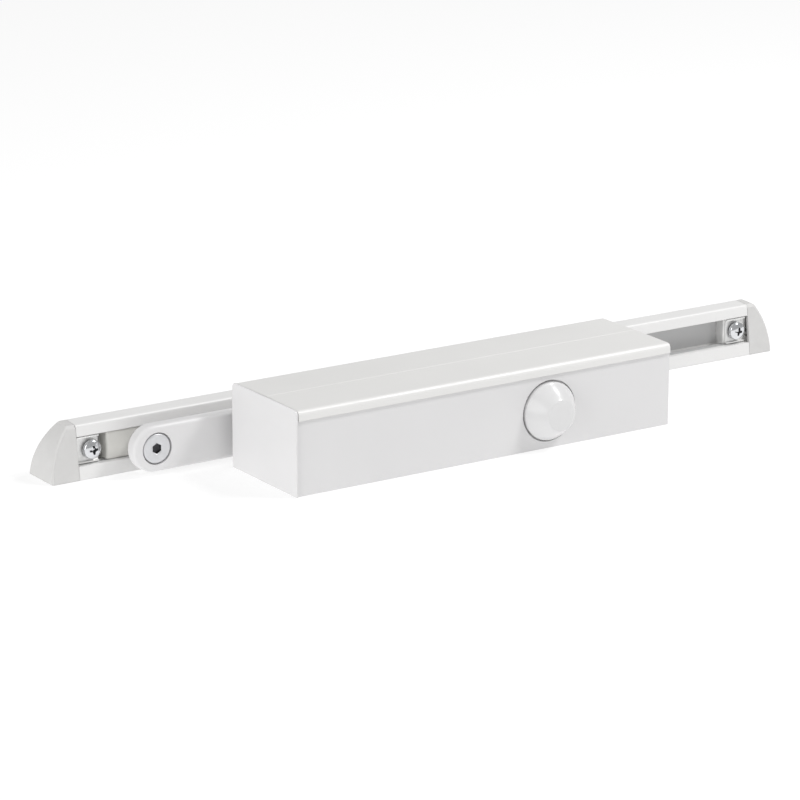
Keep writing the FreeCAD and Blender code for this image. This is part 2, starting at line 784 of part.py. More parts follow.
def make_main_spring():
    """The closing spring, between the spring plate and the piston's left face."""
    body = new_body("main_spring")
    sketch = sketch_on(body, "XZ_Plane", "0")
    circle(sketch, "spring_mean_radius", "spring_wire_radius + 0.2", "spring_wire_radius")
    helix = body.newObject("PartDesign::AdditiveHelix", "main_spring_coil")
    helix.Profile = sketch
    helix.ReferenceAxis = (sketch, ["V_Axis"])
    helix.Mode = "height-turns-growth"
    helix.setExpression("Height", cells("piston_left - spring_plate_right - 2 * spring_wire_radius - 0.4"))
    helix.setExpression("Turns", cells("spring_turns"))
    doc.recompute()
    place(body, "+x", "spring_plate_right", "0", "axis_height")


def make_spring_plate():
    """The plate that the spring stands on; the adjuster's thread draws it along the cylinder."""
    body = new_body("spring_plate")
    thickness = "(spring_plate_right - spring_plate_left)"
    bore = "adjuster_radius + running_gap"
    revolve(
        body,
        (bore, "0"),
        ("spring_plate_radius", "0"),
        ("spring_plate_radius", thickness),
        ("spring_plate_hub", thickness),
        ("spring_plate_hub", f"{thickness} + spring_plate_hub_length"),
        (bore, f"{thickness} + spring_plate_hub_length"),
    )
    place(body, "+x", "spring_plate_left", "0", "axis_height")


def make_spring_adjuster():
    """The screw that sets the closing force, with its socket head let into the left plug."""
    body = new_body("spring_adjuster")
    length = f"(adjuster_tip + {HALF_LENGTH} - plug_set_in)"
    revolve(
        body,
        ("0", "0"),
        ("adjuster_head_radius", "0"),
        ("adjuster_head_radius", "adjuster_head_length"),
        ("adjuster_radius", "adjuster_head_length"),
        ("adjuster_radius", length),
        ("0", length),
    )
    pocket(body, "XY_Plane", "0", "adjuster_head_length - 1", lambda s: hexagon(s, "adjuster_hexagon"))
    place(body, "+x", f"plug_set_in - {HALF_LENGTH}", "0", "axis_height")


def make_speed_valve(name, place_name, seal_name):
    """A needle valve with a screwdriver slot, and the O-ring in its groove."""
    body = new_body(name)
    groove_low, groove_high = "(valve_bottom + 2.0)", "(valve_bottom + 3.8)"
    revolve(
        body,
        ("0", "needle_bottom"),
        ("needle_radius * 0.4", "needle_bottom"),
        ("needle_radius", "valve_bottom - 1"),
        ("needle_radius", "valve_bottom"),
        ("valve_radius", "valve_bottom"),
        ("valve_radius", groove_low),
        ("valve_radius - 1.3", groove_low),
        ("valve_radius - 1.3", groove_high),
        ("valve_radius", groove_high),
        ("valve_radius", "valve_top"),
        ("0", "valve_top"),
    )
    pocket(body, "XY_Plane", "valve_top - 1.6", "valve_top",
           lambda s: rectangle(s, "-valve_radius - 1", "valve_radius + 1", "-0.6", "0.6"))
    place(body, "+z", place_name, "channel_depth", "0")
    seal = ring(seal_name, "valve_radius - 1.25", "valve_radius", "1.6")
    place(seal, "+z", place_name, "channel_depth", f"{groove_low} + 0.1")


def make_channel_plugs():
    """Steel balls that close the two drillings of the oil channel."""
    balls = []
    for name, at in (
        ("channel_end_ball",
         (f"{HALF_LENGTH} - channel_mouth_length / 2", "channel_depth", "channel_height")),
        ("channel_top_ball", ("channel_port", "channel_depth", "housing_top - channel_mouth_length / 2")),
    ):
        ball = doc.addObject("Part::Sphere", name)
        ball.setExpression("Radius", cells("channel_mouth_radius - thread_gap"))
        place(ball, "+z", *at)
        balls.append(ball)
    group("channel_plugs", balls)


# ---------------------------------------------------------------- arm and pivot
def draw_arm(sketch):
    """Round pivot end, parallel sides, then sides that open out to touch the hub circle."""
    half, hub = number("arm_width / 2"), number("hub_radius")
    end_at, hub_at = point("arm_end_offset", "pivot_height"), point("spindle_offset", "axis_height")
    low, high = end_at - FreeCAD.Vector(0, half, 0), end_at + FreeCAD.Vector(0, half, 0)
    low_bend = FreeCAD.Vector(number("hub_lower_start"), low.y, 0)
    high_bend = FreeCAD.Vector(number("arm_straight_end"), high.y, 0)
    low_touch, high_touch = hub_at - FreeCAD.Vector(0, hub, 0), hub_at + FreeCAD.Vector(0, hub, 0)
    end = sketch.addGeometry(Part.Arc(high, end_at - FreeCAD.Vector(half, 0, 0), low))
    lower = sketch.addGeometry(Part.LineSegment(low, low_bend))
    lower_slope = sketch.addGeometry(Part.LineSegment(low_bend, low_touch))
    far = sketch.addGeometry(Part.Arc(low_touch, hub_at + FreeCAD.Vector(hub, 0, 0), high_touch))
    upper_slope = sketch.addGeometry(Part.LineSegment(high_touch, high_bend))
    upper = sketch.addGeometry(Part.LineSegment(high_bend, high))
    pin(sketch, end, 3, "arm_end_offset", "pivot_height")
    pin(sketch, far, 3, "spindle_offset", "axis_height")
    bind(sketch, "Radius", end, to="arm_width / 2")
    bind(sketch, "Radius", far, to="hub_radius")
    for kind, *where in (
        ("Tangent", end, 2, lower, 1),
        ("Tangent", lower_slope, 2, far, 1),
        ("Tangent", far, 2, upper_slope, 1),
        ("Tangent", upper, 2, end, 1),
        ("Coincident", lower, 2, lower_slope, 1),
        ("Coincident", upper_slope, 2, upper, 1),
        ("Horizontal", lower),
        ("Horizontal", upper),
    ):
        sketch.addConstraint(Sketcher.Constraint(kind, *where))
    bind(sketch, "DistanceX", -1, 1, lower, 2, to="hub_lower_start")
    bind(sketch, "DistanceX", -1, 1, upper, 1, to="arm_straight_end")


def make_arm():
    body = new_body("arm")
    rear = "(arm_front + arm_thickness)"
    half_hole = "(square_side / 2 + running_gap)"
    pad(body, "XZ_Plane", "arm_front", rear, draw_arm)
    dress(body, "Fillet", "arm_edge_radius", lambda box: box.YLength < 0.01)
    pocket(body, "XZ_Plane", "arm_front", rear, lambda s: rectangle(
        s, f"spindle_offset - {half_hole}", f"spindle_offset + {half_hole}",
        f"axis_height - {half_hole}", f"axis_height + {half_hole}"))
    pocket(body, "XZ_Plane", "arm_front", rear,
           lambda s: circle(s, "pivot_offset", "pivot_height", "pivot_spigot_radius + running_gap"))
    pocket(body, "XZ_Plane", "arm_front", "arm_front + pivot_seat_depth",
           lambda s: circle(s, "pivot_offset", "pivot_height", "pivot_seat_radius"))


def make_socket_screw(name, head, shank, hexagon_size, facing, at):
    """A flat-headed socket screw; its origin is the middle of the head's outer face."""
    body = new_body(name)
    head_radius, head_length = head
    shank_radius, shank_length = shank
    edge = "screw_edge"
    revolve(
        body,
        ("0", "0"),
        (f"{head_radius} - {edge}", "0"),
        (head_radius, edge),
        (head_radius, head_length),
        (shank_radius, head_length),
        (shank_radius, f"{head_length} + {shank_length}"),
        ("0", f"{head_length} + {shank_length}"),
    )
    pocket(body, "XY_Plane", "0", f"{head_length} * 0.8", lambda s: hexagon(s, hexagon_size))
    place(body, facing, *at)


def make_arm_fasteners():
    rear = "arm_front + arm_thickness"
    washer = ring("arm_washer", "washer_bore", "washer_radius", "washer_thickness")
    place(washer, "+y", "spindle_offset", rear, "axis_height")
    make_socket_screw(
        "arm_screw",
        ("arm_screw_radius", "arm_screw_head"),
        ("(spindle_thread_radius - thread_gap)", "arm_screw_length"),
        "arm_screw_hexagon",
        "-y",
        ("spindle_offset", f"{rear} + washer_thickness + arm_screw_head", "axis_height"),
    )
    make_socket_screw(
        "pivot_screw",
        ("pivot_head_radius", "pivot_head_length"),
        ("(pivot_thread_radius - thread_gap)", "pivot_screw_length"),
        "pivot_hexagon",
        "+y",
        ("pivot_offset", "arm_front + pivot_seat_depth - pivot_head_length", "pivot_height"),
    )


def make_pivot_stud():
    """The stud the slider turns on: spigot through the arm, shoulder, journal and end flange."""
    body = new_body("pivot_stud")
    rear = "(arm_front + arm_thickness)"
    foot = "(arm_front + pivot_seat_depth + running_gap)"
    shoulder = "(slider_front - pivot_shoulder_gap)"
    flange_high = "(slot_back - pivot_flange_inset)"
    flange_low = f"({flange_high} - pivot_flange_length)"
    revolve(
        body,
        ("0", foot),
        ("pivot_spigot_radius", foot),
        ("pivot_spigot_radius", rear),
        ("pivot_shoulder_radius", rear),
        ("pivot_shoulder_radius", shoulder),
        ("pivot_journal_radius", shoulder),
        ("pivot_journal_radius", flange_low),
        ("pivot_flange_radius", flange_low),
        ("pivot_flange_radius", flange_high),
        ("0", flange_high),
    )
    pocket(body, "XY_Plane", foot, f"{foot} + pivot_thread_depth",
           lambda s: circle(s, "0", "0", "pivot_thread_radius"))
    place(body, "+y", "pivot_offset", "0", "pivot_height")


def make_slider():
    """A plastic block that fills the slot, with a wider foot that runs in the slot's undercut."""
    body = new_body("slider")
    left, right = "(pivot_offset - slider_half_length)", "(pivot_offset + slider_half_length)"
    pad(body, "XZ_Plane", "slider_front", "slot_throat + overlap", lambda s: rectangle(
        s, left, right, "slot_low + slider_gap", "slot_high - slider_gap"))
    pad(body, "XZ_Plane", "slot_throat + slider_gap", "slot_back - slider_gap", lambda s: rectangle(
        s, left, right, "slot_low - slot_undercut + slider_gap", "slot_high + slot_undercut - slider_gap"))
    dress(body, "Fillet", "slider_end_radius",
          lambda box: near(box.YMin, "slider_front") and box.XLength < 0.01 and box.YLength < 0.01)
    pocket(body, "XZ_Plane", "slider_front", "slot_back - slider_gap",
           lambda s: circle(s, "pivot_offset", "pivot_height", "pivot_journal_radius + running_gap"))
    pocket(body, "XZ_Plane", "slot_back - flange_seat_depth", "slot_back - slider_gap",
           lambda s: circle(s, "pivot_offset", "pivot_height", "pivot_flange_radius + flange_seat_gap"))


# ---------------------------------------------------------------- rail
SLOT_MIDDLE = "(slot_low + slot_high) / 2"
CROWN_TOP = "(rail_height + rail_crown_rise)"


def front_at(height):
    """Depth of the rail's leaning front face at a height."""
    return f"(rail_front + rail_lean * ({height}) / rail_height)"


def outer_section():
    """The outside of the rail and its end caps: leaning front, sloping crown, curved rear."""
    return (
        ("rail_front", "0"),
        ("rail_rear", "0", "rail_rear_radius"),
        ("rail_crown_rear", CROWN_TOP),
        (front_at("rail_height"), "rail_height"),
    )


def make_rail():
    body = new_body("rail")
    pad(body, "YZ_Plane", "rail_left", "rail_right", lambda s: outline(s, *outer_section()))
    dress(body, "Fillet", "rail_edge_radius", lambda box: near(box.ZMin, "rail_height") and box.XLength > 1
          and near(box.YMin, front_at("rail_height")))
    pocket(body, "YZ_Plane", "rail_left", "rail_right", lambda s: outline(
        s,
        ("rail_front - overcut", "slot_low"),
        ("slot_throat", "slot_low"),
        ("slot_throat", "slot_low - slot_undercut"),
        ("slot_back", "slot_low - slot_undercut"),
        ("slot_back", "slot_high + slot_undercut"),
        ("slot_throat", "slot_high + slot_undercut"),
        ("slot_throat", "slot_high"),
        ("rail_front - overcut", "slot_high"),
    ))
    pocket(body, "YZ_Plane", "rail_left", "rail_right", lambda s: outline(
        s,
        ("chamber_front", "chamber_low"),
        ("chamber_rear", "chamber_low"),
        ("chamber_front + chamber_top_width", "chamber_high"),
        ("chamber_front", "chamber_high"),
    ))


def span(side, near_offset, far_offset):
    """Two places along the rail, measured outwards from its left or right end, in rising order."""
    if side == "left":
        return f"rail_left - ({far_offset})", f"rail_left - ({near_offset})"
    return f"rail_right + ({near_offset})", f"rail_right + ({far_offset})"


def make_fixing_block(side):
    """A block held in the end of the slot, with a foot outside the rail that takes the fixing screw."""
    body = new_body(f"{side}_fixing_block")
    low, high = span(side, f"-{side}_block_length", "foot_near")
    pad(body, "YZ_Plane", low, high, lambda s: rectangle(
        s, "block_front", "slot_throat + overlap", "slot_low + block_gap", "slot_high - block_gap"))
    pad(body, "YZ_Plane", low, high, lambda s: rectangle(
        s, "slot_throat + block_gap", "slot_back - block_gap",
        "slot_low - slot_undercut + block_gap", "slot_high + slot_undercut - block_gap"))
    low, high = span(side, "foot_near", "foot_far")
    pad(body, "YZ_Plane", low, high, lambda s: rectangle(s, "foot_front", "foot_rear", "0", "foot_height"))
    hole = span(side, "foot_hole_offset", "foot_hole_offset")[0]
    pocket(body, "XY_Plane", "0", "foot_height",
           lambda s: circle(s, hole, "foot_hole_depth", "foot_hole_radius"))
    pocket(body, "XZ_Plane", "block_front", "slot_back - block_gap",
           lambda s: circle(s, screw_place(side), SLOT_MIDDLE, "clamp_shank_radius + running_gap"))


def screw_place(side):
    """Where a clamp screw stands along the rail."""
    return "rail_left + left_screw_inset" if side == "left" else "rail_right - right_screw_inset"


def make_clamp_plate(side):
    """The pressed plate over a fixing block: flat, with its upper and lower edges turned forwards."""
    body = new_body(f"{side}_clamp_plate")
    low, high = span(side, f"-{side}_clamp_inset - clamp_length", f"-{side}_clamp_inset")
    front, rear = "(block_front - clamp_thickness)", "block_front"
    bottom, top = "(slot_low + clamp_slot_gap)", "(slot_high - clamp_slot_gap)"
    pad(body, "YZ_Plane", low, high, lambda s: outline(
        s,
        (rear, bottom),
        (rear, top),
        (f"{front} - clamp_flange", top),
        (f"{front} - clamp_flange", f"{top} - clamp_thickness"),
        (front, f"{top} - clamp_thickness"),
        (front, f"{bottom} + clamp_thickness"),
        (f"{front} - clamp_flange", f"{bottom} + clamp_thickness"),
        (f"{front} - clamp_flange", bottom),
    ))
    pocket(body, "XZ_Plane", front, rear,
           lambda s: circle(s, screw_place(side), SLOT_MIDDLE, "clamp_shank_radius + clamp_hole_gap"))


def draw_cross(sketch):
    """A cross recess: two equal bars about the sketch's origin."""
    long, short = "clamp_cross_long", "clamp_cross_short"
    outline(
        sketch,
        (f"-{long}", f"-{short}"), (f"-{short}", f"-{short}"), (f"-{short}", f"-{long}"),
        (short, f"-{long}"), (short, f"-{short}"), (long, f"-{short}"),
        (long, short), (short, short), (short, long),
        (f"-{short}", long), (f"-{short}", short), (f"-{long}", short),
    )


def make_clamp_screws():
    """Pan-headed cross-recess screws and their spring washers, one of each at either rail end."""
    screws, washers = [], []
    washer_face = "(block_front - clamp_thickness - spring_washer_length)"
    for side in ("left", "right"):
        screw = new_body(f"{side}_pan_screw")
        revolve(
            screw,
            ("0", "0"),
            ("clamp_dome_radius", "0", "clamp_dome_bulge"),
            ("clamp_screw_radius", "clamp_dome_height"),
            ("clamp_screw_radius", "clamp_screw_head"),
            ("clamp_shank_radius", "clamp_screw_head"),
            ("clamp_shank_radius", "clamp_screw_head + clamp_screw_length"),
            ("0", "clamp_screw_head + clamp_screw_length"),
        )
        pocket(screw, "XY_Plane", "0", "clamp_cross_depth", draw_cross)
        place(screw, "+y", screw_place(side), f"{washer_face} - clamp_screw_head", SLOT_MIDDLE)
        screws.append(screw)
        washer = ring(f"{side}_spring_washer", "clamp_shank_radius + running_gap",
                      "spring_washer_radius", "spring_washer_length")
        place(washer, "+y", screw_place(side), washer_face, SLOT_MIDDLE)
        washers.append(washer)
    group("clamp_screws", screws)
    group("clamp_washers", washers)


def make_end_cap(side):
    """A hollow cap with the rail's own section, curving from the crown to the base at its outer end."""
    body = new_body(f"{side}_rail_cap")
    sign = "-" if side == "left" else "+"
    rail_end = f"rail_{side}"
    low, high = span(side, "end_cap_gap", "end_cap_length")
    pad(body, "YZ_Plane", low, high, lambda s: outline(s, *outer_section()))
    dress(body, "Chamfer", "end_cap_chamfer", lambda box: near(box.ZMin, "rail_height") and box.XLength > 1
          and near(box.YMin, front_at("rail_height")))
    base_end, beyond = f"{rail_end} {sign} end_cap_length", f"{rail_end} {sign} (end_cap_length + overcut)"
    crown_end = f"{rail_end} {sign} end_cap_top"
    bulge = "end_cap_bulge" if side == "right" else "-end_cap_bulge"
    pocket(body, "XZ_Plane", "rail_front - overcut", "rail_rear + overcut", lambda s: outline(
        s,
        (base_end, "0", bulge),
        (crown_end, CROWN_TOP),
        (crown_end, f"{CROWN_TOP} + overcut"),
        (beyond, f"{CROWN_TOP} + overcut"),
        (beyond, "0"),
    ))
    dress(body, "Fillet", "end_cap_corner", lambda box: box.ZMin > number("rail_height") - 0.5
          and box.YLength > 5 and 0.1 < box.XLength < 2)
    dress(body, "Chamfer", "end_cap_edge_size",
          lambda box: box.ZLength > 15 and box.XLength > 5 and box.YMax < number("slot_throat"))
    wall = "end_cap_wall"
    for reach, top in (
        ("end_cap_upper_depth", f"rail_height - {wall}"),
        ("end_cap_lower_depth", "end_cap_step"),
    ):
        low, high = span(side, "0", reach)
        pocket(body, "YZ_Plane", low, high, lambda s: outline(
            s,
            (f"rail_front + {wall}", "-overcut"),
            (f"{front_at(top)} + {wall}", top),
            (f"rail_rear - {wall} - end_cap_inner_lean * ({top})", top),
            (f"rail_rear - {wall} - end_cap_inner_foot", "-overcut"),
        ))


# ---------------------------------------------------------------- assembly
HIDDEN_MEMBERS = {
    "front_seal_ring", "rear_seal_ring", "left_plug_ring", "right_plug_ring",
    "channel_end_ball", "channel_top_ball",
    "left_pan_screw", "right_pan_screw", "left_spring_washer", "right_spring_washer",
}
SUB_PART_TYPES = ("PartDesign::Body", "Part::Sphere", "Part::Torus", "Part::Compound")


def build():
    fill_sheet()
    make_housing()
    make_end_plate("left", "-", "casing_depth / 2", "casing_height")
    make_end_plate("right", "", HALF_DEPTH, "housing_top")
    make_top_cover()
    make_spindle_cap()
    make_pinion_spindle()
    make_spindle_bearings()
    make_end_plug("left_end_plug", "-", "+x")
    make_end_plug("right_end_plug", "", "-x")
    make_plug_seals()
    make_piston()
    make_check_valve()
    make_main_spring()
    make_spring_plate()
    make_spring_adjuster()
    make_speed_valve("closing_speed_valve", "closing_valve_place", "closing_valve_seal")
    make_speed_valve("latching_speed_valve", "latching_valve_place", "latching_valve_seal")
    make_channel_plugs()
    make_arm()
    make_arm_fasteners()
    make_pivot_stud()
    make_slider()
    make_rail()
    make_clamp_screws()
    for side in ("left", "right"):
        make_fixing_block(side)
        make_clamp_plate(side)
        make_end_cap(side)


def check_and_export():
    doc.recompute()
    failed = [o.Name for o in doc.Objects if {"Invalid", "Error"} & set(o.State)]
    if failed:
        raise RuntimeError(f"failed objects: {failed}")
    os.makedirs("parts", exist_ok=True)
    for part in doc.Objects:
        if part.TypeId not in SUB_PART_TYPES or part.Label in HIDDEN_MEMBERS:
            continue
        if part.Shape.isNull() or not part.Shape.isValid():
            raise RuntimeError(f"{part.Label} has no valid shape")
        part.Shape.exportStep(f"parts/{part.Label}.step")
        print(f"{part.Label}: {len(part.Shape.Solids)} solid(s), {part.Shape.Volume:.0f} mm3")


build()
check_and_export()
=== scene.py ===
"""Looks for the slide-rail door closer: studio, camera, materials and the small pieces modelled as meshes."""
import json
import math

import bmesh
import bpy
from mathutils import Matrix, Vector


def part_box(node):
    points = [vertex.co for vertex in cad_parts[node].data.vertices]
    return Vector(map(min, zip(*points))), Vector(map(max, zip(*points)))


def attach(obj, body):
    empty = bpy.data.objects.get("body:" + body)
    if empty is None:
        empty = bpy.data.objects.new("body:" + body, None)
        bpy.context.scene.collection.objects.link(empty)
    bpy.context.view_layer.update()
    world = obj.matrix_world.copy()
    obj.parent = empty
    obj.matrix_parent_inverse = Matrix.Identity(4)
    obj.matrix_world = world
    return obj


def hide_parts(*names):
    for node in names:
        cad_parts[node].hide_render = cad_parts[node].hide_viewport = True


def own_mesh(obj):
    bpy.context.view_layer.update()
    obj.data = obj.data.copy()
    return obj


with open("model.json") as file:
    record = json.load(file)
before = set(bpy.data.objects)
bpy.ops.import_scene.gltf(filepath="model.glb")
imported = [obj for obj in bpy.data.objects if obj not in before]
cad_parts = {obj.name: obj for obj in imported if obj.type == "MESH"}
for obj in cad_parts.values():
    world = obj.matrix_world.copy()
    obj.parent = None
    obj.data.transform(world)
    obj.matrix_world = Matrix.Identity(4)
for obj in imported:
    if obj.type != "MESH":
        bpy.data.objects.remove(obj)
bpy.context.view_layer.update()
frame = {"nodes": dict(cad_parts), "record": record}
nodes = frame["nodes"]

# Lengths are in metres and angles in degrees, unless a name says otherwise.
MM = 0.001

# ---------------------------------------------------------------- camera
# The camera's place in the object's frame, and how it is turned. Its lens and sensor are in millimetres.
CAMERA_PLACE = (-1.0959, -1.5999, 0.6024)
CAMERA_AZIMUTH = -33.56
CAMERA_ELEVATION = 16.58
CAMERA_ROLL = 0.24
CAMERA_LENS = 172.1
SENSOR_WIDTH = 36
CAMERA_NEAR = 0.05


def add_camera():
    """The main camera: rolled about its own axis, tilted down, then turned about the vertical."""
    data = bpy.data.cameras.new("camera")
    data.lens = CAMERA_LENS
    data.sensor_width = SENSOR_WIDTH
    data.clip_start = CAMERA_NEAR
    camera = bpy.data.objects.new("camera", data)
    turn = Matrix.Rotation(math.radians(CAMERA_AZIMUTH), 4, "Z")
    tilt = Matrix.Rotation(math.radians(90 - CAMERA_ELEVATION), 4, "X")
    roll = Matrix.Rotation(math.radians(CAMERA_ROLL), 4, "Z")
    camera.matrix_world = Matrix.Translation(CAMERA_PLACE) @ turn @ tilt @ roll
    bpy.context.scene.collection.objects.link(camera)
    bpy.context.scene.camera = camera


# ---------------------------------------------------------------- studio
# The floor lies just under the object, so that the two never share a plane.
FLOOR_LEVEL = -0.0004
FLOOR_REACH = 6.0
# The paper's own tone, and how strongly it glows.
FLOOR_WHITE = 0.35
FLOOR_GLOW = 0.72
SKY_STRENGTH = 0.44
# name: (place, size, power in watts). Every light looks at AIM, near the middle of the object.
LIGHTS = {
    "key": ((0.80, -0.68, 1.27), 0.42, 11.0),
    "streak": ((0.92, -0.07, 1.36), 0.12, 4.5),
    "left": ((-1.85, -0.30, 0.60), 1.8, 19.0),
}
AIM = Vector((0.02, 0.02, 0.02))


def add_floor():
    """A square of pale paper that glows, so that the background stays white."""
    mesh = bpy.data.meshes.new("floor")
    reach = FLOOR_REACH
    corners = [(-reach, -reach), (reach, -reach), (reach, reach), (-reach, reach)]
    mesh.from_pydata([(x, y, FLOOR_LEVEL) for x, y in corners], [], [(0, 1, 2, 3)])
    floor = bpy.data.objects.new("floor", mesh)
    bpy.context.scene.collection.objects.link(floor)
    paper = make_finish("floor_paper", (FLOOR_WHITE,) * 3, roughness=0.9, gloss=0.0,
                        tone=0.004, tone_size=0.4, bump_size=0.002, bump_height=0.00001)
    shader = paper.node_tree.nodes["Principled BSDF"]
    shader.inputs["Emission Color"].default_value = (1, 1, 1, 1)
    shader.inputs["Emission Strength"].default_value = FLOOR_GLOW
    mesh.materials.append(paper)


def add_world():
    """An even white sky."""
    world = bpy.data.worlds.new("studio")
    world.use_nodes = True
    background = world.node_tree.nodes["Background"]
    background.inputs["Color"].default_value = (1, 1, 1, 1)
    background.inputs["Strength"].default_value = SKY_STRENGTH
    bpy.context.scene.world = world


def add_light(name, place, size, power):
    """A round soft light that looks at AIM."""
    data = bpy.data.lights.new(name, "AREA")
    data.shape = "DISK"
    data.size = size
    data.energy = power
    light = bpy.data.objects.new(name, data)
    towards = AIM - Vector(place)
    turn = towards.to_track_quat("-Z", "Y").to_matrix().to_4x4()
    light.matrix_world = Matrix.Translation(place) @ turn
    bpy.context.scene.collection.objects.link(light)


# ---------------------------------------------------------------- materials
# A noise keeps mostly between these two values. Tone and roughness are spread over that span.
NOISE_LOW = 0.3
NOISE_HIGH = 0.7
NOISE_DETAIL = 3.0
# The size of a finish's smudges, as a share of the size of its patches of tone.
SMUDGE_SHARE = 0.3
EDGE_SAMPLES = 6


def add_noise(tree, coordinates, size, stretch):
    """A noise in patches about size metres across, drawn out along an axis where stretch is above 1."""
    mapping = tree.nodes.new("ShaderNodeMapping")
    mapping.inputs["Scale"].default_value = [1 / (size * s) for s in stretch]
    noise = tree.nodes.new("ShaderNodeTexNoise")
    noise.inputs["Scale"].default_value = 1.0
    noise.inputs["Detail"].default_value = NOISE_DETAIL
    tree.links.new(coordinates, mapping.inputs["Vector"])
    tree.links.new(mapping.outputs["Vector"], noise.inputs["Vector"])
    return noise.outputs["Fac"]


def add_range(tree, value, low, high):
    """The noise's usual span, spread from low to high."""
    spread = tree.nodes.new("ShaderNodeMapRange")
    spread.inputs["From Min"].default_value = NOISE_LOW
    spread.inputs["From Max"].default_value = NOISE_HIGH
    spread.inputs["To Min"].default_value = low
    spread.inputs["To Max"].default_value = high
    tree.links.new(value, spread.inputs["Value"])
    return spread.outputs["Result"]


def make_finish(name, colour, roughness, gloss=0.5, metallic=0.0, tone=0.02, tone_size=0.02,
                rough_spread=0.04, bump_size=0.001, bump_height=0.00001, stretch=(1, 1, 1),
                edge=0.0, coat=0.0):
    """A procedural finish: mottled tone, uneven roughness, a fine relief and, if edge is set, soft edges."""
    material = bpy.data.materials.new(name)
    material.use_nodes = True
    tree = material.node_tree
    shader = tree.nodes["Principled BSDF"]
    shader.inputs["Metallic"].default_value = metallic
    shader.inputs["Specular IOR Level"].default_value = gloss
    shader.inputs["Coat Weight"].default_value = coat
    place = tree.nodes.new("ShaderNodeTexCoord").outputs["Object"]

    ramp = tree.nodes.new("ShaderNodeValToRGB")
    darker, lighter = ramp.color_ramp.elements
    darker.position = NOISE_LOW
    darker.color = (*(c * (1 - tone) for c in colour), 1)
    lighter.position = NOISE_HIGH
    lighter.color = (*(min(1, c * (1 + tone)) for c in colour), 1)
    tree.links.new(add_noise(tree, place, tone_size, stretch), ramp.inputs["Fac"])
    tree.links.new(ramp.outputs["Color"], shader.inputs["Base Color"])

    smudges = add_noise(tree, place, tone_size * SMUDGE_SHARE, stretch)
    tree.links.new(add_range(tree, smudges, roughness - rough_spread, roughness + rough_spread),
                   shader.inputs["Roughness"])

    bump = tree.nodes.new("ShaderNodeBump")
    bump.inputs["Distance"].default_value = bump_height
    tree.links.new(add_noise(tree, place, bump_size, stretch), bump.inputs["Height"])
    if edge:
        soft_edge = tree.nodes.new("ShaderNodeBevel")
        soft_edge.samples = EDGE_SAMPLES
        soft_edge.inputs["Radius"].default_value = edge
        tree.links.new(soft_edge.outputs["Normal"], bump.inputs["Normal"])
    tree.links.new(bump.outputs["Normal"], shader.inputs["Normal"])
    return material


# Drawn out along the closer's length, as on extruded, drawn or ground stock.
LENGTHWISE = (30, 1, 1)

